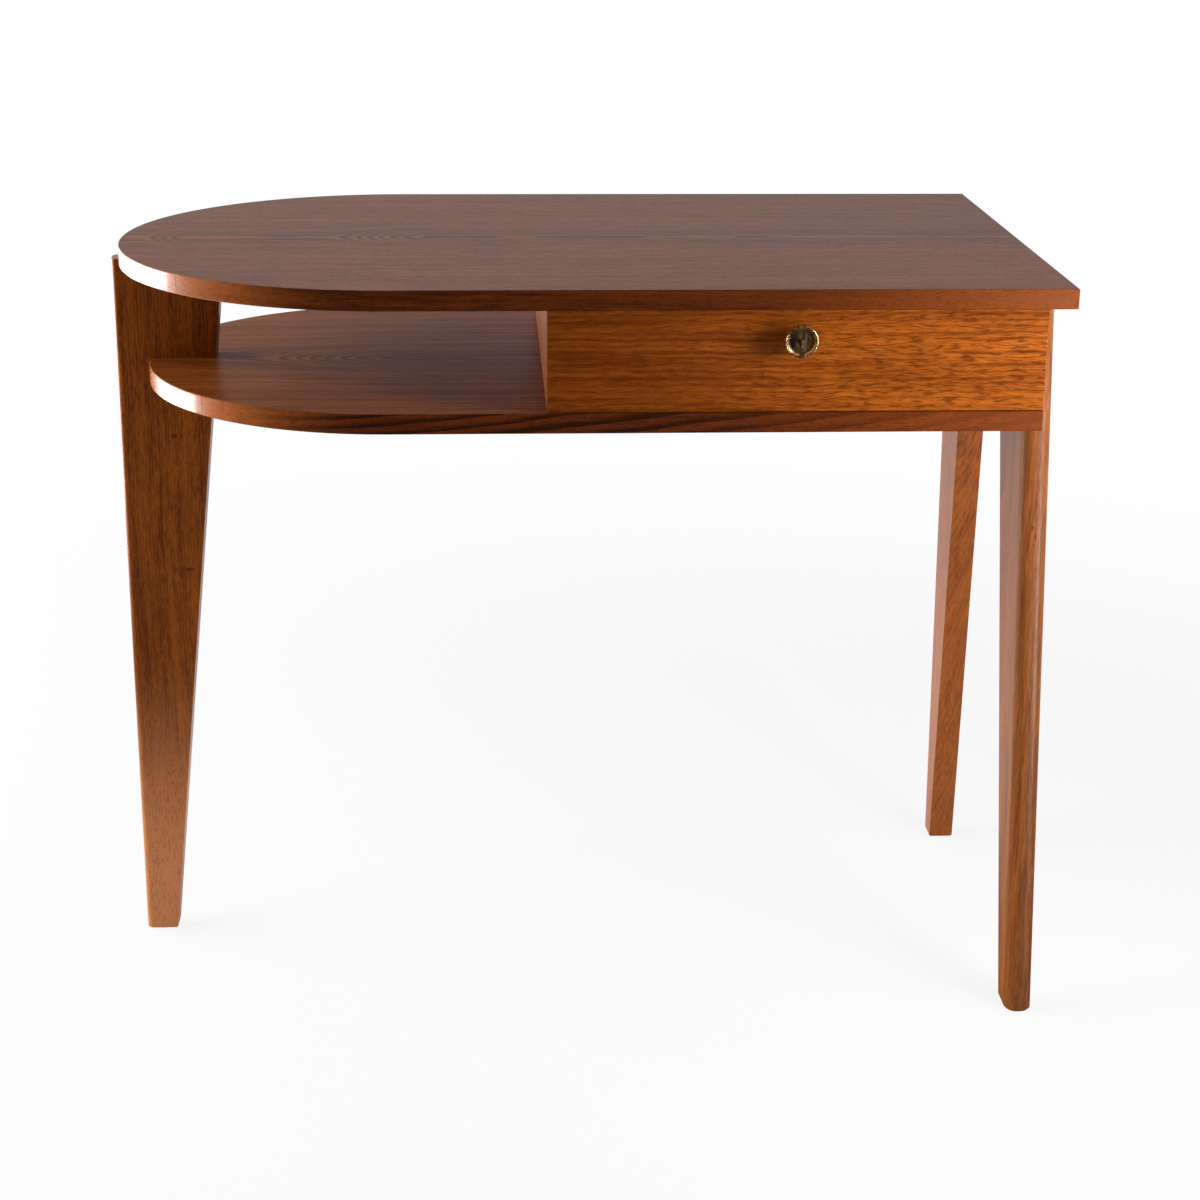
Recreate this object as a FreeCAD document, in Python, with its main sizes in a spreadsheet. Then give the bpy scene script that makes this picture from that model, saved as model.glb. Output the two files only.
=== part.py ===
import FreeCAD, Part
import os
import Sketcher

# Tripod desk: a D-shaped top and shelf, a drawer case at the right, one broad leg
# halved into the rounded end and two splayed legs let into the square end.
# Millimetres, +Z up, the front faces -Y. The origin lies on the floor under the middle
# of the space that the desk takes up with its key in place.

SIZES = {
    # top
    "desk_height": 760.0,
    "top_length": 900.0,
    "top_depth": 540.0,
    "top_thickness": 19.0,
    "band_thickness": 3.0,
    "rim_chamfer": 0.8,
    # shelf, which is also the floor of the drawer case
    "shelf_thickness": 19.0,
    "shelf_inset": 24.0,
    "shelf_end_inset": 20.0,
    # drawer case
    "case_height": 101.0,
    "case_length": 462.0,
    "wall_thickness": 16.0,
    "back_thickness": 12.0,
    # left leg, a board across the middle of the rounded end
    "left_leg_thickness": 25.0,
    "left_leg_top_width": 110.5,
    "left_leg_top_reach": 9.5,
    "left_foot_width": 33.0,
    "left_foot_reach": 13.5,
    "left_leg_rounding": 6.0,
    "halving_depth": 50.0,
    # right legs, boards along the square end; a margin is a crown's distance in from the
    # shelf's front or back edge at the leg's head, and from the top's at its foot
    "right_leg_thickness": 28.0,
    "right_leg_top_width": 120.0,
    "right_leg_top_margin": 54.0,
    "right_leg_top_inset": 1.0,
    "right_leg_rounding": 12.0,
    "right_foot_thickness": 27.0,
    "right_foot_width": 38.0,
    "right_foot_margin": 37.0,
    "right_foot_reach": 16.0,
    "foot_chamfer": 2.0,
    # glides
    "glide_radius": 8.0,
    "glide_thickness": 2.0,
    "glide_rim": 1.0,
    "glide_pin_radius": 1.2,
    "glide_pin_length": 14.0,
    # dowels
    "case_dowel_radius": 3.0,
    "case_dowel_length": 24.0,
    "case_dowel_margin": 16.0,
    "leg_dowel_radius": 4.0,
    "leg_dowel_length": 36.0,
    "leg_dowel_bite": 12.0,
    "leg_dowel_margin": 26.0,
    # wood screws
    "leg_screw_length": 28.0,
    "leg_screw_radius": 2.0,
    "leg_screw_head_radius": 4.0,
    "leg_screw_margin": 25.0,
    "runner_screw_length": 20.0,
    "runner_screw_radius": 1.5,
    "runner_screw_head_radius": 3.2,
    "runner_screw_margin": 14.0,
    # drawer runners
    "runner_width": 8.0,
    "runner_height": 18.0,
    "runner_rise": 35.0,
    "runner_front_gap": 4.0,
    "runner_back_gap": 16.5,
    "runner_play": 0.3,
    # drawer
    "front_thickness": 19.0,
    "front_margin": 1.0,
    "front_back_gap": 0.5,
    "front_chamfer": 0.8,
    "side_thickness": 12.0,
    "side_height": 80.0,
    "side_gap": 1.5,
    "side_back_gap": 21.0,
    "side_lift": 4.0,
    "side_joint_depth": 9.0,
    "dovetail_flare": 1.6,
    "side_tail": 10.0,
    "back_drop": 8.0,
    "back_board_thickness": 12.0,
    "back_housing_depth": 4.0,
    "bottom_thickness": 4.0,
    "bottom_rise": 6.0,
    "bottom_groove_depth": 5.0,
    "bottom_nail_radius": 0.9,
    "bottom_nail_length": 18.0,
    # knob
    "knob_drop": 30.0,
    "knob_radius": 15.5,
    "knob_reach": 20.5,
    "knob_base_radius": 10.5,
    "knob_neck_radius": 8.5,
    "knob_rim_width": 2.2,
    "knob_dish_depth": 3.5,
    "knob_shank_radius": 8.0,
    # lock
    "plug_radius": 6.0,
    "plug_play": 0.05,
    "plug_set_back": 4.0,
    "cam_throw": 4.0,
    "cam_pin_radius": 1.5,
    "case_box_width": 40.0,
    "case_box_height": 50.0,
    "case_box_depth": 9.5,
    "case_box_wall": 1.2,
    "plate_margin": 7.0,
    "plate_thickness": 1.5,
    "lock_screw_radius": 1.3,
    "lock_screw_head_radius": 2.6,
    "lock_screw_length": 9.0,
    "bolt_width": 14.0,
    "bolt_tail_width": 24.0,
    "bolt_tail_height": 18.0,
    "bolt_thickness": 4.0,
    "bolt_play": 0.4,
    "strike_width": 34.0,
    "strike_depth": 12.0,
    "strike_thickness": 1.2,
    # key
    "key_shank_radius": 2.2,
    "key_play": 0.05,
    "key_insertion": 16.0,
    "key_stand_off": 5.0,
    "key_bit_thickness": 1.8,
    "key_bit_drop": 4.6,
    "key_bit_length": 6.0,
    "key_slot_play": 0.3,
    "key_bow_height": 23.0,
    "key_bow_depth": 19.0,
    "key_bow_thickness": 2.5,
    "key_bow_wall": 4.0,
    "key_lean": 8.0,
    # overrun of a cutting tool past the face that it opens
    "overrun": 1.0,
}

# Shares of the knob's reach at which its base and neck end and its flare starts and ends
KNOB_SHARES = {"base": 1 / 12, "neck": 1 / 6, "flare_start": 1 / 3, "flare_end": 2 / 3}
# Share of the knob's rim that is bevelled away on each side of its crest
RIM_SHARE = 3 / 10
# Shares of the drawer's inside width at which the bottom is nailed to the back
NAIL_SHARES = {"left": 1 / 6, "centre": 1 / 2, "right": 5 / 6}
# Share of the cam's throw that the bolt's slot leaves above and below the cam pin
SLOT_SHARE = 1 / 4


class Term:
    """A length, with its value and the sheet expression that gives it."""

    def __init__(self, value, rule):
        self.value = value
        self.rule = rule

    def __add__(self, other):
        other = term(other)
        return Term(self.value + other.value, f"({self.rule} + {other.rule})")

    def __sub__(self, other):
        other = term(other)
        return Term(self.value - other.value, f"({self.rule} - {other.rule})")

    def __mul__(self, other):
        other = term(other)
        return Term(self.value * other.value, f"({self.rule} * {other.rule})")

    def __truediv__(self, other):
        other = term(other)
        return Term(self.value / other.value, f"({self.rule} / {other.rule})")

    def __rsub__(self, other):
        return term(other) - self

    def __neg__(self):
        return Term(-self.value, f"(0 - {self.rule})")

    __radd__ = __add__
    __rmul__ = __mul__


def term(number):
    """The number itself as a term, unless it is one already."""
    return number if isinstance(number, Term) else Term(number, str(number))


class Sheet:
    """The spreadsheet of driving sizes, read as terms by name."""

    def __init__(self, document, sizes):
        cells = document.addObject("Spreadsheet::Sheet", "Sizes")
        for row, (name, value) in enumerate(sizes.items(), start=1):
            cells.set(f"A{row}", name)
            cells.set(f"B{row}", str(value))
            cells.setAlias(f"B{row}", name)
            setattr(self, name, Term(value, f"Sizes.{name}"))


doc = FreeCAD.newDocument("tripod_desk")
size = Sheet(doc, SIZES)
doc.recompute()

ZERO = term(0)
TURNS = {
    "+Z": FreeCAD.Rotation(),
    "+X": FreeCAD.Rotation(FreeCAD.Vector(0, 1, 0), 90),
    "-X": FreeCAD.Rotation(FreeCAD.Vector(0, 1, 0), -90),
    "+Y": FreeCAD.Rotation(FreeCAD.Vector(1, 0, 0), -90),
    "-Y": FreeCAD.Rotation(FreeCAD.Vector(1, 0, 0), 90),
    "left": FreeCAD.Rotation(FreeCAD.Vector(0, 0, 1), 90),
    "about Y": FreeCAD.Rotation(FreeCAD.Vector(0, 1, 0), 90),
}
AXES = {"+X": (1, 0, 0), "-X": (-1, 0, 0), "+Y": (0, 1, 0), "-Y": (0, -1, 0), "+Z": (0, 0, 1)}


# Binding sizes to the sheet

def bind(thing, **terms):
    """Ties properties of a feature to the sheet."""
    for name, length in terms.items():
        thing.setExpression(name, term(length).rule)


def place(thing, x, y, z, turn="+Z"):
    """Puts a feature at a bound point, turned so that its own Z lies along a named axis."""
    thing.Placement = FreeCAD.Placement(FreeCAD.Vector(), TURNS[turn])
    for name, length in zip("xyz", (x, y, z)):
        thing.setExpression(f"Placement.Base.{name}", term(length).rule)


def along(point, axis, distance):
    """The point that lies a distance along an axis from another."""
    return tuple(start + distance * step for start, step in zip(point, AXES[axis]))


# Primitives and booleans

def box(name, low, high):
    """A box between two bound corners."""
    solid = doc.addObject("Part::Box", name)
    place(solid, *low)
    bind(solid, Length=high[0] - low[0], Width=high[1] - low[1], Height=high[2] - low[2])
    return solid


def rod(name, start, axis, radius, length):
    """A round rod from a point along an axis."""
    solid = doc.addObject("Part::Cylinder", name)
    place(solid, *start, turn=axis)
    bind(solid, Radius=radius, Height=length)
    return solid


def cone(name, start, axis, first_radius, last_radius, length):
    solid = doc.addObject("Part::Cone", name)
    place(solid, *start, turn=axis)
    bind(solid, Radius1=first_radius, Radius2=last_radius, Height=length)
    return solid


def fuse(name, *pieces):
    solid = doc.addObject("Part::MultiFuse", name)
    solid.Shapes = list(pieces)
    return solid


def group(name, pieces):
    """Separate solids that share one node."""
    solid = doc.addObject("Part::Compound", name)
    solid.Links = list(pieces)
    return solid


def cut(name, base, *tools):
    """A piece with the shapes that seat in it cut out."""
    solid = doc.addObject("Part::Cut", name)
    solid.Base = base
    solid.Tool = tools[0] if len(tools) == 1 else group(name + "_tools", tools)
    return solid


def screw(name, head, axis, radius, head_radius, length):
    """A countersunk wood screw whose head's face is centred on a point."""
    head_length = head_radius - radius
    neck = along(head, axis, head_length)
    return fuse(
        name,
        cone(name + "_head", head, axis, head_radius, radius, head_length),
        rod(name + "_shank", neck, axis, radius, length - head_length),
    )


# Sketches

def new_body(name):
    return doc.addObject("PartDesign::Body", name)


def new_sketch(body, name, role, offset=None):
    """A sketch on one of its body's origin planes, moved along the plane's normal."""
    sketch = body.newObject("Sketcher::SketchObject", name)
    plane = next(face for face in body.Origin.OriginFeatures if face.Role == role)
    sketch.AttachmentSupport = (plane, [""])
    sketch.MapMode = "FlatFace"
    if offset is not None:
        sketch.setExpression("AttachmentOffset.Base.z", term(offset).rule)
    return sketch


def pin_point(sketch, edge, end, x, y):
    """Dimensions a point of an edge from the sketch's origin, where a length is given."""
    for kind, axis, length in (("DistanceX", -2, x), ("DistanceY", -1, y)):
        if length is None:
            continue
        if length.value == 0:
            sketch.addConstraint(Sketcher.Constraint("PointOnObject", edge, end, axis))
        else:
            index = sketch.addConstraint(Sketcher.Constraint(kind, -1, 1, edge, end, length.value))
            sketch.setExpression(f"Constraints[{index}]", length.rule)


def vector(point):
    return FreeCAD.Vector(point[0].value, point[1].value, 0)


def outline(sketch, corners, arcs=()):
    """A closed outline through bound corners.

    An entry of arcs makes the edge that starts at that corner an arc instead of a
    line: {corner index: (the point at the middle of the arc, the arc's centre)}. The
    arc's ends fix one coordinate of its centre, which is given as None.
    """
    arcs = dict(arcs)
    corners = [tuple(term(length) for length in corner) for corner in corners]
    starts = {}
    for index, corner in enumerate(corners):
        following = corners[(index + 1) % len(corners)]
        if index in arcs:
            middle, centre = arcs[index]
            first, crown, last = vector(corner), vector(middle), vector(following)
            leftward = (crown - first).cross(last - first).z > 0
            curve = Part.Arc(first, crown, last) if leftward else Part.Arc(last, crown, first)
            edge = sketch.addGeometry(curve)
            starts[index] = (edge, 1 if leftward else 2)
            pin_point(sketch, edge, 3, *centre)
        else:
            edge = sketch.addGeometry(Part.LineSegment(vector(corner), vector(following)))
            starts[index] = (edge, 1)
    for index, corner in enumerate(corners):
        edge, start = starts[index]
        last_edge, last_start = starts[(index - 1) % len(corners)]
        sketch.addConstraint(Sketcher.Constraint("Coincident", last_edge, 3 - last_start, edge, start))
        if index in arcs:
            pin_point(sketch, last_edge, 3 - last_start, *corner)
        else:
            pin_point(sketch, edge, start, *corner)
    return sketch


def pad(body, name, sketch, length, midplane=False, reverse=False):
    feature = body.newObject("PartDesign::Pad", name)
    feature.Profile = sketch
    feature.Reversed = reverse
    feature.Midplane = midplane
    bind(feature, Length=length)
    return feature


def revolve(body, name, sketch, axis):
    feature = body.newObject("PartDesign::Revolution", name)
    feature.Profile = sketch
    feature.ReferenceAxis = (sketch, [axis])
    feature.Angle = 360
    return feature


def through_pocket(body, name, sketch):
    """Cuts a sketch's outlines right through a body, both ways from the sketch."""
    pocket = body.newObject("PartDesign::Pocket", name)
    pocket.Profile = sketch
    pocket.Type = "ThroughAll"
    pocket.Midplane = True


# Edges and their dressing

def edge_names(shape, wanted):
    return [f"Edge{number}" for number, edge in enumerate(shape.Edges, start=1) if wanted(edge)]


def is_flat(edge, axis):
    """Whether an edge lies in one plane across an axis."""
    return getattr(edge.BoundBox, axis + "Length") < edge.Length / 1000


def edges_at_low_end(shape, axis):
    """The names of the edges with both ends in a shape's lowest plane across an axis."""
    low = min(getattr(vertex.Point, axis) for vertex in shape.Vertexes)
    return edge_names(shape, lambda edge: all(getattr(vertex.Point, axis) - low < edge.Length / 1000
                                              for vertex in edge.Vertexes))


def rim_edges(shape, with_end):
    """The names of a level board's edges round its two faces, with its square end's if asked."""
    return edge_names(shape, lambda edge: is_flat(edge, "Z") and (with_end or not is_flat(edge, "X")))


def outer_long_edges(shape, side):
    """The names of a leg's two long edges that lie furthest along Y, on the side of that sign."""
    long = [edge for edge in shape.Edges if edge.BoundBox.ZLength > shape.BoundBox.ZLength / 2]
    long.sort(key=lambda edge: edge.BoundBox.Center.y * side)
    return edge_names(shape, lambda edge: any(edge.isSame(outer) for outer in long[-2:]))


def dress(body, name, kind, edges, **terms):
    """Puts a fillet or a chamfer on edges of a body's last feature."""
    feature = body.newObject("PartDesign::" + kind, name)
    feature.Base = (feature.BaseFeature, edges)
    bind(feature, **terms)
    doc.recompute()


# Levels and stations shared by the pieces

under = size.desk_height - size.top_thickness
shelf_top = under - size.case_height
shelf_under = shelf_top - size.shelf_thickness
tip = (size.left_foot_reach - size.right_foot_reach - size.top_length) / 2
top_end = tip + size.top_length
top_half = size.top_depth / 2
shelf_tip = tip + size.shelf_inset
shelf_end = top_end - size.shelf_end_inset
shelf_half = top_half - size.shelf_inset
foot_level = size.glide_thickness
plug_face = size.plug_set_back - size.knob_reach
key_near = plug_face - size.key_stand_off
key_front = key_near - size.key_bow_depth
middle = (shelf_half - key_front - top_half) / 2
shelf_front = middle - shelf_half
shelf_back = middle + shelf_half
head_stance = shelf_half - size.right_leg_top_margin
foot_stance = top_half - size.right_foot_margin


# Legs

def leg_taper(body, name, offset, head, foot):
    """A leg's tapered outline along Y, from (inner, outer) at its head to the same at its foot."""
    sketch = new_sketch(body, name + "_taper", "YZ_Plane", offset)
    return outline(sketch, [(foot[0], foot_level), (foot[1], foot_level), (head[1], under), (head[0], under)])


def dress_leg(body, name, side, rounding):
    """Rounds a leg's long outer edges and chamfers the edges of its foot."""
    doc.recompute()
    dress(body, name + "_rounding", "Fillet", outer_long_edges(body.Shape, side), Radius=rounding)
    dress(body, name + "_chamfer", "Chamfer", edges_at_low_end(body.Shape, "z"), Size=size.foot_chamfer)


def right_leg(name, side):
    """One of the two splayed legs; side is -1 at the front and 1 at the back."""
    outer = top_end - size.right_leg_top_inset
    inner = outer - size.right_leg_thickness
    foot_outer = top_end + size.right_foot_reach
    foot_inner = foot_outer - size.right_foot_thickness
    body = new_body(name + "_board")
    taper = leg_taper(body, name, inner,
                      (middle + (head_stance - size.right_leg_top_width) * side, middle + head_stance * side),
                      (middle + (foot_stance - size.right_foot_width) * side, middle + foot_stance * side))
    pad(body, name + "_pad", taper, foot_outer - inner)
    lean = new_sketch(body, name + "_lean", "XZ_Plane")
    for head_face, foot_face, clear in ((inner, foot_inner, inner - size.overrun),
                                        (outer, foot_outer, foot_outer + size.overrun)):
        outline(lean, [(head_face, under), (foot_face, foot_level), (clear, foot_level), (clear, under)])
    through_pocket(body, name + "_lean_cut", lean)
    dress_leg(body, name, side, size.right_leg_rounding)
    return body


def left_leg(name):
    """The broad leg, drawn with its width along Y and turned to point left."""
    head_outer = size.left_leg_top_reach - tip
    head_inner = head_outer - size.left_leg_top_width
    foot_outer = size.left_foot_reach - tip
    body = new_body(name + "_board")
    foot_inner = foot_outer - size.left_foot_width
    taper = leg_taper(body, name, None, (head_inner, head_outer), (foot_inner, foot_outer))
    pad(body, name + "_pad", taper, size.left_leg_thickness, midplane=True)
    dress_leg(body, name, 1, size.left_leg_rounding)
    notch = new_sketch(body, name + "_notch_outline", "YZ_Plane")
    notch_end = -tip - size.halving_depth
    inside = head_inner - size.overrun
    outline(notch, [(inside, shelf_under), (notch_end, shelf_under),
                    (notch_end, shelf_top), (inside, shelf_top)])
    through_pocket(body, name + "_notch", notch)
    place(body, ZERO, middle, ZERO, turn="left")
    return body


left_board = left_leg("left")
front_board = right_leg("front", -1)
back_board = right_leg("back", 1)


# Top and shelf

def d_panel(name, left, right, half, bottom, thickness):
    """A board with a semicircular left end and a square right end."""
    body = new_body(name)
    centre = left + half
    sketch = new_sketch(body, name + "_outline", "XY_Plane", bottom)
    outline(
        sketch,
        [(centre, middle - half), (right, middle - half), (right, middle + half), (centre, middle + half)],
        {3: ((left, middle), (centre, None))},
    )
    pad(body, name + "_pad", sketch, thickness)
    doc.recompute()
    return body


band = size.band_thickness
top_blank = d_panel("top_blank", tip, top_end, top_half, under, size.top_thickness)
dress(top_blank, "top_chamfer", "Chamfer", rim_edges(top_blank.Shape, True), Size=size.rim_chamfer)
top_core = d_panel("top_core", tip + band, top_end - band, top_half - band, under, size.top_thickness)
shelf_blank = d_panel("shelf_blank", shelf_tip, shelf_end, shelf_half, shelf_under, size.shelf_thickness)
dress(shelf_blank, "shelf_chamfer", "Chamfer", rim_edges(shelf_blank.Shape, False), Size=size.rim_chamfer)
shelf_core = d_panel("shelf_core", shelf_tip + band, shelf_end, shelf_half - band, shelf_under,
                     size.shelf_thickness)


# Drawer case

case_right = shelf_end
case_left = case_right - size.case_length
inner_left = case_left + size.wall_thickness
inner_right = case_right - size.wall_thickness
front_face = shelf_front
front_back = front_face + size.front_thickness
wall_front = front_back + size.front_back_gap
wall_back = shelf_back - size.back_thickness

divider_board = box("divider_board", (case_left, wall_front, shelf_top), (inner_left, wall_back, under))
end_board = box("end_board", (inner_right, wall_front, shelf_top), (case_right, wall_back, under))
rear_board = box("rear_board", (case_left, wall_back, shelf_top), (case_right, shelf_back, under))


def case_dowel(name, x, y, level):
    """A dowel that stands half in each of the boards that meet at a level."""
    half = size.case_dowel_length / 2
    return rod(name, (x, y, level - half), "+Z", size.case_dowel_radius, size.case_dowel_length)


walls = {
    "divider": case_left + size.wall_thickness / 2,
    "end": case_right - size.wall_thickness / 2,
}
rear = shelf_back - size.back_thickness / 2
wall_stations = {
    "front": wall_front + size.case_dowel_margin,
    "rear": wall_back - size.case_dowel_margin,
}
rear_stations = {
    "left": case_left + size.case_dowel_margin,
    "right": case_right - size.case_dowel_margin,
}
case_dowels = []
for edge, level in (("top", under), ("shelf", shelf_top)):
    for wall, x in walls.items():
        case_dowels += [case_dowel(f"{wall}_{edge}_{station}_dowel", x, y, level)
                        for station, y in wall_stations.items()]
    case_dowels += [case_dowel(f"rear_{edge}_{station}_dowel", x, rear, level)
                    for station, x in rear_stations.items()]
case_dowel_set = group("case_dowels", case_dowels)


# Dowels and screws of the legs

def leg_dowel(name, x, y):
    start = under - (size.leg_dowel_length - size.leg_dowel_bite)
    return rod(name, (x, y, start), "+Z", size.leg_dowel_radius, size.leg_dowel_length)


left_outer = tip - size.left_leg_top_reach + size.left_leg_rounding
left_inner = tip - size.left_leg_top_reach + size.left_leg_top_width
leg_middle = top_end - size.right_leg_top_inset - size.right_leg_thickness / 2
leg_outer_station = head_stance - size.right_leg_rounding - size.leg_dowel_margin
leg_inner_station = head_stance - size.right_leg_top_width + size.leg_dowel_margin
leg_dowels = [leg_dowel("left_outer_dowel", left_outer + size.leg_dowel_margin, middle),
              leg_dowel("left_inner_dowel", left_inner - size.leg_dowel_margin, middle)]
leg_screws = []
screw_levels = {"upper": under - size.leg_screw_margin, "lower": shelf_top + size.leg_screw_margin}
for leg, side in (("front", -1), ("back", 1)):
    leg_dowels += [leg_dowel(f"{leg}_outer_dowel", leg_middle, middle + leg_outer_station * side),
                   leg_dowel(f"{leg}_inner_dowel", leg_middle, middle + leg_inner_station * side)]
    screw_station = middle + (head_stance - size.right_leg_top_width / 2) * side
    leg_screws += [screw(f"{leg}_{level_name}_screw", (inner_right, screw_station, level), "+X",
                         size.leg_screw_radius, size.leg_screw_head_radius, size.leg_screw_length)
                   for level_name, level in screw_levels.items()]
leg_dowel_set = group("leg_dowels", leg_dowels)
leg_screw_set = group("leg_screws", leg_screws)


# Glides under the feet

def glide(name, x, y):
    """A domed glide with its pin, turned as one piece."""
    body = new_body(name)
    sketch = new_sketch(body, name + "_profile", "XZ_Plane")
    rim, pin, tip_level = size.glide_rim, size.glide_pin_radius, foot_level + size.glide_pin_length
    outline(sketch, [(ZERO, ZERO), (size.glide_radius - rim, ZERO), (size.glide_radius, rim),
                     (size.glide_radius, foot_level), (pin, foot_level), (pin, tip_level), (ZERO, tip_level)])
    revolve(body, name + "_turning", sketch, "V_Axis")
    place(body, x, y, ZERO)
    return body


right_foot_x = top_end + size.right_foot_reach - size.right_foot_thickness / 2
right_foot_y = foot_stance - size.right_foot_width / 2
glide_set = group("foot_glides", [
    glide("left_glide", tip - size.left_foot_reach + size.left_foot_width / 2, middle),
    glide("front_glide", right_foot_x, middle - right_foot_y),
    glide("back_glide", right_foot_x, middle + right_foot_y),
])


# Drawer runners

runner_low = shelf_top + size.runner_rise
runner_high = runner_low + size.runner_height
runner_front = wall_front + size.runner_front_gap
runner_back = wall_back - size.runner_back_gap
left_runner_board = box("left_runner_board", (inner_left, runner_front, runner_low),
                        (inner_left + size.runner_width, runner_back, runner_high))
right_runner_board = box("right_runner_board", (inner_right - size.runner_width, runner_front, runner_low),
                         (inner_right, runner_back, runner_high))
runner_stations = {
    "front": runner_front + size.runner_screw_margin,
    "rear": runner_back - size.runner_screw_margin,
}
runner_middle = (runner_low + runner_high) / 2
runner_screws = []
for station, y in runner_stations.items():
    for hand, x, axis in (("left", inner_left + size.runner_width, "-X"),
                          ("right", inner_right - size.runner_width, "+X")):
        runner_screws.append(screw(f"{hand}_{station}_runner_screw", (x, y, runner_middle), axis,
                                   size.runner_screw_radius, size.runner_screw_head_radius,
                                   size.runner_screw_length))
runner_screw_set = group("runner_screws", runner_screws)


# Knob, lock and key: stations along Y are measured from the drawer front's face

knob_x = (case_left + case_right) / 2
knob_z = under - size.knob_drop
box_front = front_back - size.plate_thickness - size.case_box_depth
plate_front = front_back - size.plate_thickness
front_low = shelf_top + size.front_margin
front_high = under - size.front_margin


def profile_body(name, corners, turning):
    """A turned piece on the knob's axis; corners are (radius, depth from the front's face)."""
    body = new_body(name)
    sketch = new_sketch(body, name + "_profile", "XY_Plane")
    outline(sketch, corners)
    revolve(body, turning, sketch, "V_Axis")
    place(body, knob_x, front_face, knob_z)
    return body


def knob():
    """A dished knob on a short neck, bored for the lock's plug."""
    bore = size.plug_radius + size.plug_play
    reach, rim = size.knob_reach, size.knob_rim_width
    station = {name: -reach * share for name, share in KNOB_SHARES.items()}
    bevel = rim * RIM_SHARE
    rim_inner = size.knob_radius - rim
    dish = size.knob_dish_depth - reach
    return profile_body("knob_turned", [
        (bore, box_front - front_face), (size.knob_shank_radius, box_front - front_face),
        (size.knob_shank_radius, ZERO), (size.knob_base_radius, ZERO),
        (size.knob_base_radius, station["base"]), (size.knob_neck_radius, station["neck"]),
        (size.knob_neck_radius, station["flare_start"]), (size.knob_radius, station["flare_end"]),
        (size.knob_radius, bevel * 2 - reach), (size.knob_radius - bevel, -reach),
        (rim_inner + bevel, -reach), (rim_inner, bevel * 2 - reach),
        (rim_inner - rim, dish), (bore, dish)], "knob_turning")


plug_end = box_front - front_face + size.case_box_wall + size.bolt_play
keyhole_end = plug_face + size.key_insertion + size.overrun
bolt_front = box_front + size.case_box_wall + size.bolt_play * 2


def at_knob(thing, lean=ZERO):
    """Puts a piece drawn about the knob's axis in place, leaning by an angle."""
    place(thing, knob_x, front_face, knob_z, turn="about Y")
    thing.setExpression("Placement.Rotation.Angle", lean.rule)
    return thing


def lock_plug():
    """The plug that the key turns, with its keyhole and its cam pin."""
    mouth = plug_face - size.overrun
    plug = rod("plug_rod", (ZERO, plug_face, ZERO), "+Y", size.plug_radius, plug_end - plug_face)
    pin = rod("cam_pin", (ZERO, plug_end, -size.cam_throw), "+Y", size.cam_pin_radius,
              size.bolt_thickness + size.bolt_play * 2)
    hole = rod("keyhole", (ZERO, mouth, ZERO), "+Y", size.key_shank_radius + size.key_play,
               keyhole_end - mouth)
    half = size.key_bit_thickness / 2 + size.key_slot_play
    slot = box("keyway", (-half, mouth, -size.key_bit_drop - size.key_slot_play), (half, keyhole_end, ZERO))
    blank = at_knob(fuse("plug_blank", plug, pin))
    recess = at_knob(fuse("key_recess", hole, slot), size.key_lean)
    return cut("lock_plug", blank, recess)


def key():
    """A flat-bowed key, its bit down, standing in the plug."""
    shank_start = key_near - size.key_bow_wall / 2
    shank_end = plug_face + size.key_insertion
    shank = rod("key_shank", (ZERO, shank_start, ZERO), "+Y", size.key_shank_radius,
                shank_end - shank_start)
    half = size.key_bit_thickness / 2
    bit = box("key_bit", (-half, shank_end - size.key_bit_length, -size.key_bit_drop),
              (half, shank_end, ZERO))
    body = new_body("key_bow")
    ring = new_sketch(body, "bow_outline", "YZ_Plane")
    oval(ring, size.key_bow_height / 2, size.key_bow_depth)
    oval(ring, size.key_bow_height / 2 - size.key_bow_wall, size.key_bow_depth - size.key_bow_wall * 2)
    pad(body, "bow_pad", ring, size.key_bow_thickness, midplane=True)
    place(body, ZERO, (key_near + key_front) / 2, ZERO)
    return at_knob(fuse("key", shank, bit, body), size.key_lean)


def oval(sketch, half_height, width):
    """A slot-shaped ring about the sketch's origin, round at its top and bottom."""
    radius = width / 2
    straight = half_height - radius
    first = sketch.GeometryCount
    upper, lower = vector((ZERO, straight)), vector((ZERO, -straight))
    side = FreeCAD.Vector(radius.value, 0, 0)
    crown = FreeCAD.Vector(0, radius.value, 0)
    sketch.addGeometry(Part.Arc(upper + side, upper + crown, upper - side))
    sketch.addGeometry(Part.LineSegment(upper - side, lower - side))
    sketch.addGeometry(Part.Arc(lower - side, lower - crown, lower + side))
    sketch.addGeometry(Part.LineSegment(lower + side, upper + side))
    for step in range(4):
        joint = (first + step, 2, first + (step + 1) % 4, 1)
        sketch.addConstraint(Sketcher.Constraint("Tangent", *joint))
    pin_point(sketch, first, 3, ZERO, straight)
    pin_point(sketch, first + 2, 3, ZERO, -straight)
    index = sketch.addConstraint(Sketcher.Constraint("Radius", first, radius.value))
    sketch.setExpression(f"Constraints[{index}]", radius.rule)


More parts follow.
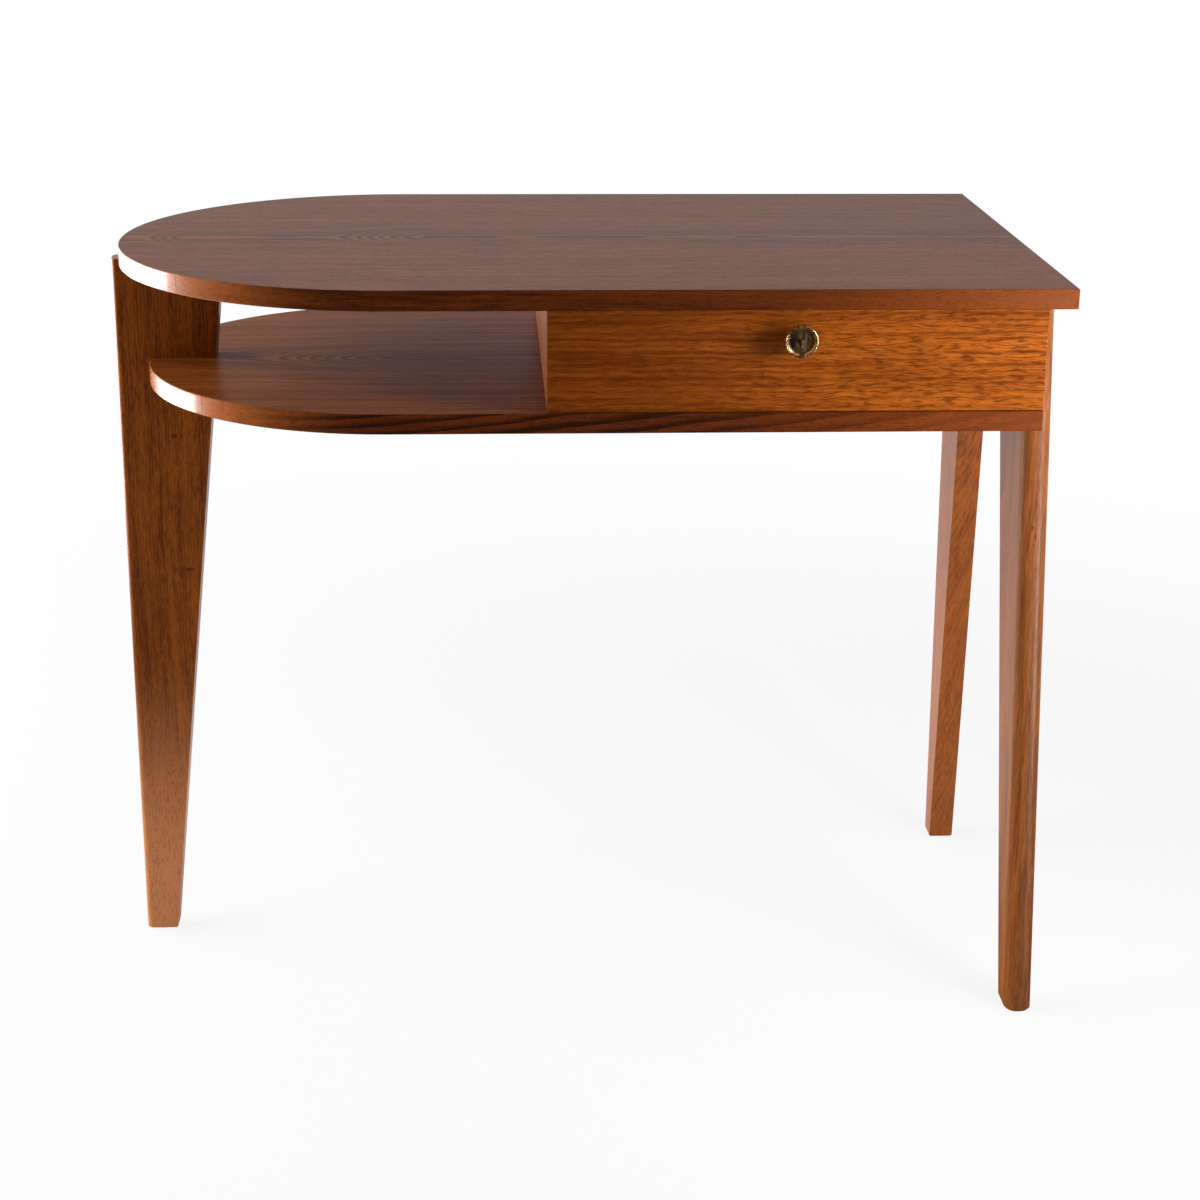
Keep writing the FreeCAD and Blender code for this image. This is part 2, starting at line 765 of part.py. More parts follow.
def lock_case():
    """The lock's open-backed box, slotted for its bolt and bored for the plug."""
    wall = size.case_box_wall
    half = size.case_box_width / 2
    low = front_high - size.case_box_height
    outer = box("lock_box", (knob_x - half, box_front, low), (knob_x + half, plate_front, front_high))
    inner = box("lock_hollow", (knob_x - half + wall, box_front + wall, low + wall),
                (knob_x + half - wall, plate_front + size.overrun, front_high - wall))
    bore = rod("lock_bore", (knob_x, box_front - size.overrun, knob_z), "+Y",
               size.plug_radius + size.bolt_play, wall + size.overrun * 2)
    half_bolt = size.bolt_width / 2 + size.bolt_play
    slot = box("bolt_slot", (knob_x - half_bolt, bolt_front - size.bolt_play, front_high - wall * 2),
               (knob_x + half_bolt, bolt_front + size.bolt_thickness + size.bolt_play,
                front_high + size.overrun))
    return cut("lock_case", outer, fuse("lock_case_hollows", inner, bore, slot)), outer


def lock_bolt():
    """A T-shaped bolt whose cross slot rides on the plug's cam pin."""
    body = new_body("lock_bolt")
    sketch = new_sketch(body, "bolt_outline", "XZ_Plane")
    head, tail = size.bolt_width / 2, size.bolt_tail_width / 2
    tail_low = -size.cam_throw - size.bolt_tail_height / 2
    tail_high = -size.cam_throw + size.bolt_tail_height / 2
    top_level = front_high - knob_z
    outline(sketch, [(-tail, tail_low), (tail, tail_low), (tail, tail_high), (head, tail_high),
                     (head, top_level), (-head, top_level), (-head, tail_high), (-tail, tail_high)])
    pad(body, "bolt_pad", sketch, size.bolt_thickness, reverse=True)
    opening = new_sketch(body, "bolt_slot_outline", "XZ_Plane")
    reach = size.cam_throw + size.cam_pin_radius + size.bolt_play
    rise = size.cam_pin_radius + size.cam_throw * SLOT_SHARE
    middle = -size.cam_throw
    outline(opening, [(-reach, middle - rise), (reach, middle - rise), (reach, middle + rise),
                      (-reach, middle + rise)])
    through_pocket(body, "bolt_slot_cut", opening)
    place(body, knob_x, bolt_front, knob_z)
    return body


knob_body = knob()
plug_piece = lock_plug()
key_piece = key()
lock_case_piece, lock_box = lock_case()
bolt_piece = lock_bolt()

plate_half = size.case_box_width / 2 + size.plate_margin
plate_low = front_high - size.case_box_height - size.plate_margin
lock_plate_board = box("lock_plate_blank", (knob_x - plate_half, plate_front, plate_low),
                       (knob_x + plate_half, front_back, front_high))
screw_side = plate_half - size.plate_margin / 2
upper_screws = front_high - size.plate_margin
lower_screws = plate_low + size.plate_margin
lock_screws = [
    screw(f"{name}_lock_screw", (knob_x + screw_side * hand, front_back, level), "-Y",
          size.lock_screw_radius, size.lock_screw_head_radius, size.lock_screw_length)
    for name, hand, level in (("upper_left", -1, upper_screws), ("lower_right", 1, lower_screws))
]
lock_screw_set = group("lock_screws", lock_screws)

strike_half = size.strike_width / 2
strike_middle = bolt_front + size.bolt_thickness / 2
strike_top = under + size.strike_thickness
strike_blank = box("strike_blank",
                   (knob_x - strike_half, strike_middle - size.strike_depth / 2, under),
                   (knob_x + strike_half, strike_middle + size.strike_depth / 2, strike_top))
mortise_half = size.bolt_width / 2 + size.bolt_play * 2
mortise = box("bolt_mortise",
              (knob_x - mortise_half, bolt_front - size.bolt_play * 2, under - size.overrun),
              (knob_x + mortise_half, bolt_front + size.bolt_thickness + size.bolt_play * 2,
               under + size.cam_throw * 2 + size.overrun))
strike_screw_side = (strike_half + mortise_half) / 2
strike_screws = [
    screw(f"{name}_strike_screw", (knob_x + strike_screw_side * hand, strike_middle, under), "+Z",
          size.lock_screw_radius, size.lock_screw_head_radius, size.lock_screw_length)
    for name, hand in (("left", -1), ("right", 1))
]
strike_screw_set = group("strike_screws", strike_screws)


# Drawer

side_low = shelf_top + size.side_lift
side_high = side_low + size.side_height
side_left = inner_left + size.side_gap
side_right = inner_right - size.side_gap
box_left = side_left + size.side_thickness
box_right = side_right - size.side_thickness
side_back = wall_back - size.side_back_gap
bottom_low = side_low + size.bottom_rise
bottom_high = bottom_low + size.bottom_thickness
back_high = side_high - size.back_drop
back_rear = side_back - size.side_tail
back_front = back_rear - size.back_board_thickness
tongue_end = front_back - size.side_joint_depth


def drawer_side(name, outer, inward):
    """A grooved drawer side with a dovetailed front end; inward is 1 on the left and -1 on the right."""
    body = new_body(name)
    sketch = new_sketch(body, name + "_section", "XZ_Plane")
    runner_groove = outer + (size.runner_width - size.side_gap + size.runner_play) * inward
    bottom_groove = outer + (size.side_thickness - size.bottom_groove_depth) * inward
    inner = outer + size.side_thickness * inward
    outline(sketch, [
        (outer, side_low), (inner, side_low), (inner, bottom_low), (bottom_groove, bottom_low),
        (bottom_groove, bottom_high), (inner, bottom_high), (inner, side_high), (outer, side_high),
        (outer, runner_high + size.runner_play), (runner_groove, runner_high + size.runner_play),
        (runner_groove, runner_low - size.runner_play), (outer, runner_low - size.runner_play)])
    pad(body, name + "_pad", sketch, side_back - tongue_end, reverse=True)
    joints = new_sketch(body, name + "_joints", "XY_Plane")
    for face, into in ((outer, inward), (inner, -inward)):
        neck = (face + size.dovetail_flare * into, size.side_joint_depth)
        clear = face - size.overrun * into
        outline(joints, [(face, ZERO), neck, (clear, size.side_joint_depth), (clear, ZERO)])
    housing, clear = inner - size.back_housing_depth * inward, inner + size.overrun * inward
    outline(joints, [(clear, back_front - tongue_end), (housing, back_front - tongue_end),
                     (housing, back_rear - tongue_end), (clear, back_rear - tongue_end)])
    through_pocket(body, name + "_joint_cuts", joints)
    place(body, ZERO, tongue_end, ZERO)
    return body


def side_groove(name, outer, inward):
    """The groove that a side's tongue slides up into, open at the front's lower edge."""
    body = new_body(name)
    low = front_low - size.overrun
    inner = outer + size.side_thickness * inward
    flare = size.dovetail_flare * inward
    plan = new_sketch(body, name + "_plan", "XY_Plane", low)
    outline(plan, [(outer, tongue_end), (inner, tongue_end),
                   (inner - flare, front_back), (outer + flare, front_back)])
    pad(body, name + "_pad", plan, side_high - low)
    return body


def drawer_front_board():
    """The drawer front's board, with the edges of its face eased."""
    body = new_body("drawer_front_board")
    sketch = new_sketch(body, "drawer_front_outline", "XZ_Plane", -front_face)
    outline(sketch, [(case_left, front_low), (case_right, front_low),
                     (case_right, front_high), (case_left, front_high)])
    pad(body, "drawer_front_pad", sketch, size.front_thickness, reverse=True)
    doc.recompute()
    dress(body, "drawer_front_chamfer", "Chamfer", edges_at_low_end(body.Shape, "y"), Size=size.front_chamfer)
    return body


left_side_piece = drawer_side("drawer_side_left", side_left, 1)
right_side_piece = drawer_side("drawer_side_right", side_right, -1)
left_groove = side_groove("left_groove", side_left, 1)
right_groove = side_groove("right_groove", side_right, -1)
front_board_blank = drawer_front_board()
bottom_board = box("bottom_board",
                   (box_left - size.bottom_groove_depth, front_back - size.bottom_groove_depth, bottom_low),
                   (box_right + size.bottom_groove_depth, back_rear, bottom_high))
back_piece_board = box("drawer_back_board", (box_left - size.back_housing_depth, back_front, bottom_high),
                       (box_right + size.back_housing_depth, back_rear, back_high))
knob_hole = rod("knob_hole", (knob_x, front_face - size.overrun, knob_z), "+Y", size.knob_shank_radius,
                box_front - front_face + size.overrun)
nail_y = (back_front + back_rear) / 2
bottom_nails = [rod(f"{name}_nail", (box_left + (box_right - box_left) * share, nail_y, bottom_low), "+Z",
                    size.bottom_nail_radius, size.bottom_nail_length)
                for name, share in NAIL_SHARES.items()]
nail_set = group("bottom_nails", bottom_nails)


# Pieces with their seats cut by what they hold

NODES = {
    "top_panel": cut("top_panel", top_core, case_dowel_set, leg_dowel_set, strike_blank, mortise,
                     strike_screw_set),
    "top_edge_band": cut("top_edge_band", top_blank, top_core),
    "shelf_panel": cut("shelf_panel", shelf_core, left_board, front_board, back_board, case_dowel_set),
    "shelf_edge_band": cut("shelf_edge_band", cut("shelf_band_blank", shelf_blank, shelf_core), left_board),
    "divider_panel": cut("divider_panel", divider_board, case_dowel_set, runner_screw_set),
    "end_panel": cut("end_panel", end_board, front_board, back_board, case_dowel_set, runner_screw_set,
                     leg_screw_set),
    "back_panel": cut("back_panel", rear_board, case_dowel_set),
    "left_leg": cut("left_leg", left_board, leg_dowel_set, glide_set),
    "front_leg": cut("front_leg", front_board, leg_dowel_set, leg_screw_set, glide_set),
    "back_leg": cut("back_leg", back_board, leg_dowel_set, leg_screw_set, glide_set),
    "case_dowels": case_dowel_set,
    "leg_dowels": leg_dowel_set,
    "leg_screws": leg_screw_set,
    "foot_glides": glide_set,
    "runner_left": cut("runner_left", left_runner_board, runner_screw_set),
    "runner_right": cut("runner_right", right_runner_board, runner_screw_set),
    "runner_screws": runner_screw_set,
    "strike_plate": cut("strike_plate", strike_blank, mortise, strike_screw_set),
    "strike_screws": strike_screw_set,
    "drawer_front": cut("drawer_front", front_board_blank, left_groove, right_groove, bottom_board,
                        knob_hole, lock_box, lock_plate_board, lock_screw_set),
    "drawer_side_left": left_side_piece,
    "drawer_side_right": right_side_piece,
    "drawer_back": cut("drawer_back", back_piece_board, nail_set),
    "drawer_bottom": cut("drawer_bottom", bottom_board, nail_set),
    "bottom_nails": nail_set,
    "knob": knob_body,
    "lock_case": lock_case_piece,
    "lock_plate": cut("lock_plate", lock_plate_board, lock_screw_set),
    "lock_screws": lock_screw_set,
    "lock_bolt": bolt_piece,
    "lock_plug": plug_piece,
    "key": key_piece,
}


# Checking and writing

def check(document, nodes):
    """Stops if any feature failed or any piece is empty or broken."""
    for thing in document.Objects:
        faults = [word for word in thing.State if word in ("Invalid", "Error")]
        if faults:
            raise RuntimeError(f"{thing.Label}: {faults}")
    for name, thing in nodes.items():
        if thing.Shape.isNull() or not thing.Shape.isValid() or not thing.Shape.Solids:
            raise RuntimeError(f"{name}: its shape is empty or not valid")


doc.recompute()
for node, piece in NODES.items():
    piece.Label = node
doc.recompute()
check(doc, NODES)
os.makedirs("parts", exist_ok=True)
for node, piece in NODES.items():
    piece.Shape.exportStep(f"parts/{node}.step")
    print(f"{node}: {len(piece.Shape.Solids)} solids, {piece.Shape.Volume:.0f} mm3")
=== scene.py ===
import math

import bpy
from mathutils import Matrix, Vector


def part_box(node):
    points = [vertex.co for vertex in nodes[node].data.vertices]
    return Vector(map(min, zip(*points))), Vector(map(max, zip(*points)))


# A tripod desk of varnished oak on a pale studio floor. Places come from the frame's own
# nodes. Materials are written in millimetres of the desk's own space, the stage in metres.
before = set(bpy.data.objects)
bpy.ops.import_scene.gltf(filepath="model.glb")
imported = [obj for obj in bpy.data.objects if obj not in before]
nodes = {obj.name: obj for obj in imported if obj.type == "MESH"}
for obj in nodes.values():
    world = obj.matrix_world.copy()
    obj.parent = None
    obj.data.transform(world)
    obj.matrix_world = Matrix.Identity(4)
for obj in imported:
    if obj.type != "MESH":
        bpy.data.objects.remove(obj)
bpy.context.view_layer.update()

MM = 1000.0


def srgb(red, green, blue):
    """A colour given as it looks on a screen, 0 to 255, as a shader colour."""
    def linear(value):
        value /= 255
        return value / 12.92 if value <= 0.04045 else ((value + 0.055) / 1.055) ** 2.4
    return (linear(red), linear(green), linear(blue), 1.0)


def box_mm(name):
    """The lowest and highest corners of a node, in millimetres."""
    low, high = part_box(name)
    return low * MM, high * MM


# Shader arithmetic

class Field:
    """A number that varies over a surface, used with ordinary arithmetic."""

    def __init__(self, shader, socket):
        self.shader = shader
        self.socket = socket

    def __add__(self, other):
        return self.shader.math("ADD", self, other)

    def __sub__(self, other):
        return self.shader.math("SUBTRACT", self, other)

    def __rsub__(self, other):
        return self.shader.math("SUBTRACT", other, self)

    def __mul__(self, other):
        return self.shader.math("MULTIPLY", self, other)

    def __truediv__(self, other):
        return self.shader.math("DIVIDE", self, other)

    __radd__ = __add__
    __rmul__ = __mul__


class Shader:
    """The node tree of a material or a world."""

    def __init__(self, owner):
        owner.use_nodes = True
        self.owner = owner
        self.tree = owner.node_tree
        self.tree.nodes.clear()

    def feed(self, socket, value):
        if isinstance(value, Field):
            value = value.socket
        if isinstance(value, bpy.types.NodeSocket):
            self.tree.links.new(value, socket)
        else:
            socket.default_value = value

    def node(self, kind, inputs=None, **settings):
        made = self.tree.nodes.new(kind)
        for name, value in settings.items():
            setattr(made, name, value)
        for socket, value in (inputs or {}).items():
            self.feed(made.inputs[socket], value)
        return made

    def math(self, operation, *values):
        made = self.node("ShaderNodeMath", dict(enumerate(values)), operation=operation)
        return Field(self, made.outputs[0])

    def length(self, *sides):
        """The length of a line with these sides, square to each other."""
        return self.math("SQRT", sum(side * side for side in sides))

    def step(self, value, low, high):
        """0 below low, 1 above high, smooth between."""
        made = self.node("ShaderNodeMapRange", {0: value, 1: low, 2: high}, interpolation_type="SMOOTHSTEP")
        return Field(self, made.outputs[0])

    def vector(self, x, y, z):
        return self.node("ShaderNodeCombineXYZ", {0: x, 1: y, 2: z}).outputs[0]

    def noise(self, vector, detail=2.0, roughness=0.5):
        """Noise from 0 to 1 at a scale of one unit."""
        made = self.node("ShaderNodeTexNoise", {"Vector": vector, "Scale": 1.0, "Detail": detail,
                                                "Roughness": roughness})
        return Field(self, made.outputs[0])

    def grain_noise(self, point, cell, seed, depth_seed=0.0, detail=2.0, roughness=0.5):
        """Noise in cells that have a length along the grain and a width across it."""
        along, across, depth = point
        length, width = cell
        return self.noise(self.vector(along / length + seed, across / width, depth / width + depth_seed),
                          detail, roughness)

    def mix(self, factor, first, second, kind="MIX"):
        made = self.node("ShaderNodeMix", {0: factor, 6: first, 7: second}, data_type="RGBA", blend_type=kind)
        return made.outputs[2]

    def position(self):
        """The point on the desk, in millimetres, as three fields."""
        point = self.node("ShaderNodeTexCoord").outputs["Object"]
        parts = self.node("ShaderNodeSeparateXYZ", {0: point})
        return [Field(self, parts.outputs[axis]) * MM for axis in range(3)]

    def rays(self):
        """Whether the ray comes from the camera, a mirror or clear matter, as three fields."""
        path = self.node("ShaderNodeLightPath")
        return [Field(self, path.outputs[name])
                for name in ("Is Camera Ray", "Is Glossy Ray", "Is Transmission Ray")]

    def bump(self, height, distance, strength=1.0):
        return self.node("ShaderNodeBump", {"Height": height, "Distance": distance,
                                            "Strength": strength}).outputs[0]

    def surface(self, **inputs):
        """Ends the material with a principled surface and returns the material."""
        named = {name.replace("_", " "): value for name, value in inputs.items()}
        surface = self.node("ShaderNodeBsdfPrincipled", named)
        self.node("ShaderNodeOutputMaterial", {"Surface": surface.outputs[0]})
        return self.owner


def new_shader(name):
    return Shader(bpy.data.materials.new(name))


# Wood

# Cells of the oak's figure, in millimetres: their length along the grain and width across it
DRIFT_CELL = (420, 170)
STREAK_CELL = (110, 4)
FIBRE_CELL = (16, 1.2)
TICK_CELL = (11, 1.3)
CLOUD_CELL = (220, 70)
RAY_CELL = (16, 1.8)
RAY_BEND_CELL = (52, 18)
RIPPLE_WIDTH = 24
SAG_LENGTH = 90
YEAR_LENGTH = 800
HEART_EDGE = (24, 70)
RAY_BEND = 14
RAY_GROWTH = (40, 330)
PIT_GRAIN = 1.5
# Keeps the turn round the arc from jumping a whole turn where it ends at the back
ARC_MARGIN = 0.001

# Where a noise or a share turns from one tone to the other
LATE_WOOD = (0.30, 0.95)
YEAR_END = (0.97, 1.0)
YEAR_TURN = 0.45
YEAR_EDGE = (0.30, 0.70)
STREAK_EDGE = (0.35, 0.75)
TICK_EDGE = (0.53, 0.66)
TONE_EDGE = (-0.1, 1.15)
CLOUD_EDGE = (0.40, 0.75)
RAY_EDGE = (0.49, 0.61)
PIT_EDGE = (0.5, 1.1)

# Shares of what they scale
EARLY_TICKS = 0.03
CLOUD_SHARE = 0.30
RAY_LEAST = 0.35
PIT_RAGGED = 0.8
PIT_SHARE = 0.7
VENEER_SHARE = 0.02
FIBRE_RISE = 0.4
TICK_SINK = 0.8
FIBRE_ROUGHNESS = 0.12

OAK_BUMP = 0.00015
OAK_BUMP_STRENGTH = 0.5
COAT_ROUGHNESS = 0.08


def wood_grain(shader, point, pith, spacing, seed, wander, wave, stretch):
    """Fields of a board's figure: late wood, tone of the year, streaks, fibres, ticks and heart.

    pith is (place across, depth, sag, slope along) of the log's heart line, with any steps
    in its depth as further (along, length, depth) triples; wave is (length, height) of the
    ripples that run through the grain.
    """
    along, across, depth = point
    drift = shader.noise(shader.vector(along / DRIFT_CELL[0] + seed, across / DRIFT_CELL[1] + seed,
                                       depth / DRIFT_CELL[1]), 1.0) - 0.5
    ripple = shader.grain_noise(point, (wave[0], RIPPLE_WIDTH), seed) - 0.5
    bent = across + drift * wander * 2 + ripple * wave[1] * 2
    side = bent - pith[0]
    sag = (shader.noise(shader.vector(along / SAG_LENGTH + seed * 3, seed, seed)) - 0.5) * pith[2]
    below = depth + along * pith[3] + sag + pith[1]
    for place, length, drop in pith[4:]:
        below = below + (1 - shader.step(along, place, place + length)) * drop
    ring = shader.length(side, below) / spacing
    phase = shader.math("FRACT", ring)
    late = shader.step(phase, *LATE_WOOD) * (1 - shader.step(phase, *YEAR_END))
    year = shader.noise(shader.vector(ring * YEAR_TURN + seed, along / YEAR_LENGTH, seed), 2.0, 0.6)
    run = (along / stretch, bent, depth)
    streak = shader.grain_noise(run, STREAK_CELL, seed, seed, 3.0, 0.6)
    fibre = shader.grain_noise(run, FIBRE_CELL, seed, 0.0, 3.0, 0.6)
    tick = shader.grain_noise(run, TICK_CELL, seed, seed, 2.0, 0.6)
    ticks = shader.step(tick + (1 - late) * EARLY_TICKS, *TICK_EDGE)
    heart = late * (1 - shader.step(shader.math("ABSOLUTE", side), *HEART_EDGE))
    return late, year, streak, fibre, ticks, heart


def marked(shader, marks, seed):
    """How far a point lies in any of the marks, each ((x, y, z), (half sizes))."""
    point = shader.position()
    rough = (shader.grain_noise(point, (PIT_GRAIN, PIT_GRAIN), 0.0, seed) - 0.5) * PIT_RAGGED
    found = None
    for place, half in marks:
        away = shader.length(*[(axis - middle) / size for axis, middle, size in zip(point, place, half)])
        spot = 1 - shader.step(away + rough, *PIT_EDGE)
        found = spot if found is None else shader.math("MAXIMUM", found, spot)
    return found


def oak_rays(shader, point, seed):
    """The darker flecks across the grain, denser towards the square end."""
    along, across, depth = point
    bend = (shader.noise(shader.vector(along / RAY_BEND_CELL[0] + seed, across / RAY_BEND_CELL[1], seed))
            - 0.5) * RAY_BEND
    ray = shader.grain_noise((along, across + bend, depth), RAY_CELL, seed, 0.0, 2.0, 0.55)
    grown = shader.step(along, *RAY_GROWTH) * (1 - RAY_LEAST) + RAY_LEAST
    return shader.step(ray, *RAY_EDGE) * grown


def oak(name, grain, light, dark, pore, pith, seed, spacing=4.0, wander=8.0, wave=(60, 1.5), stretch=1.0,
        rings=0.35, years=0.5, streaks=0.5, fibres=0.5, ticked=0.4, figure=0.0, fleck=0.0, roughness=0.3,
        specular=0.25, coat=0.0, arc=None, lean=None, fade=(), painted_shade=None, marks=()):
    """Varnished oak; grain names the axes along, across and into the board.

    arc, the (x, y, radius) of the round end, makes the grain follow a bent edge band; lean,
    (from, slope), slopes the grain into the board.

    fade lists (from, to, share, colour): along the board the colour moves by that share
    towards another; on the edge bands and the legs this is painted light, lighter where the
    lamps or the floor light them. The shade at one end, (from, to, factors), is painted shade:
    a colour that darkens that end, where less light falls. marks are knots, pits and
    scratches, as marked() takes them.
    """
    shader = new_shader(name)
    position = dict(zip("XYZ", shader.position()))
    along, across, depth = (position[axis] for axis in grain)
    if arc:
        past = along - arc[0]
        turn = shader.math("ARCTAN2", shader.math("MINIMUM", past, -ARC_MARGIN), arc[1] - depth)
        along = shader.math("MAXIMUM", past, 0) + turn * arc[2] + arc[0]
        depth = depth * VENEER_SHARE
    if lean:
        depth = depth + shader.math("MAXIMUM", along - lean[0], 0) * lean[1]
    point = (along, across, depth)
    late, year, streak, fibre, ticks, heart = wood_grain(shader, point, pith, spacing, seed, wander, wave,
                                                         stretch)
    tone = late * rings + shader.step(year, *YEAR_EDGE) * years
    tone = tone + shader.step(streak, *STREAK_EDGE) * streaks + (fibre - 0.5) * fibres * 2
    colour = shader.mix(shader.step(tone, *TONE_EDGE), light, dark)
    cloud = shader.grain_noise(point, CLOUD_CELL, seed)
    colour = shader.mix(shader.step(cloud, *CLOUD_EDGE) * CLOUD_SHARE, colour, dark)
    if fleck:
        colour = shader.mix(oak_rays(shader, point, seed) * fleck, colour, pore)
    # Colour that moves along the board; on the edge bands and the legs it is painted light
    for low, high, share, towards in fade:
        colour = shader.mix(shader.step(along, low, high) * share, colour, towards)
    # Painted shade: one end of the board darkened where less light falls
    if painted_shade:
        colour = shader.mix(shader.step(along, *painted_shade[:2]), colour, painted_shade[2], "MULTIPLY")
    if figure:
        colour = shader.mix(heart * figure, colour, pore)
    colour = shader.mix(ticks * ticked, colour, pore)
    if marks:
        colour = shader.mix(marked(shader, marks, seed) * PIT_SHARE, colour, pore)
    normal = shader.bump(fibre * FIBRE_RISE - ticks * TICK_SINK, OAK_BUMP, OAK_BUMP_STRENGTH)
    return shader.surface(Base_Color=colour, Roughness=roughness + fibre * FIBRE_ROUGHNESS,
                          Specular_IOR_Level=specular, Coat_Weight=coat, Coat_Roughness=COAT_ROUGHNESS,
                          Normal=normal)


top_low, top_high = box_mm("top_panel")
shelf_high = box_mm("shelf_panel")[1]
band_low, band_high = box_mm("top_edge_band")
shelf_band_low = box_mm("shelf_edge_band")[0]
middle = (top_low.y + top_high.y) / 2
front_face = box_mm("drawer_front")[0].y
leg_face = box_mm("left_leg")[0].y
top_arc = (band_low.x + band_high.y - middle, middle, band_high.y - middle)
shelf_reach = middle - shelf_band_low.y
shelf_arc = (shelf_band_low.x + shelf_reach, middle, shelf_reach)

LIGHT = srgb(188, 94, 22)
DARK = srgb(112, 48, 7)
PORE = srgb(54, 21, 4)
TOP_PORE = srgb(70, 32, 14)
BAND_LIGHT = srgb(114, 49, 7)
BAND_DARK = srgb(54, 20, 2)
DRAWER_PORE = srgb(84, 35, 5)
# Painted shade: factors that darken the drawer front's left end, away from the lamps on the right
DRAWER_PAINTED_SHADE = (0.62, 0.58, 0.5, 1.0)

# Joints, chips, knots, pits and scratches: ((x, y, z), (half sizes))
TOP_BAND_MARKS = (((-374, -181, 750), (0.8, 4, 12)),)
SHELF_BAND_MARKS = (
    ((-358, -163, 631), (0.8, 4, 12)),
    ((-173, front_face, 640), (3, 2, 1.5)),
)
DRAWER_MARKS = (
    ((165, front_face, 675), (0.7, 3, 4.5)),
    ((219, front_face, 696), (2.5, 3, 1.6)),
    ((236, front_face, 728), (2.5, 3, 1.6)),
    ((353, front_face, 693), (5, 3, 1.1)),
)
LEFT_LEG_MARKS = (
    ((-407, leg_face, 559), (3.6, 5, 2.6)),
    ((-398, leg_face, 416), (5, 5, 2.4)),
)
FRONT_LEG_MARKS = (
    ((437, -195, 513), (1.6, 5, 3)),
    ((440.5, -195, 504), (1.4, 5, 4)),
    ((438.5, -195, 496), (1.2, 5, 2)),
    ((442, -195, 472), (3, 4, 2)),
    ((444.5, -195, 439), (3, 4, 2)),
    ((446, -195, 413), (2, 4, 2)),
)
BACK_LEG_MARKS = (
    ((462.5, 205, 379), (1.5, 6, 1.5)),
    ((468, 205, 332), (4, 8, 15)),
)

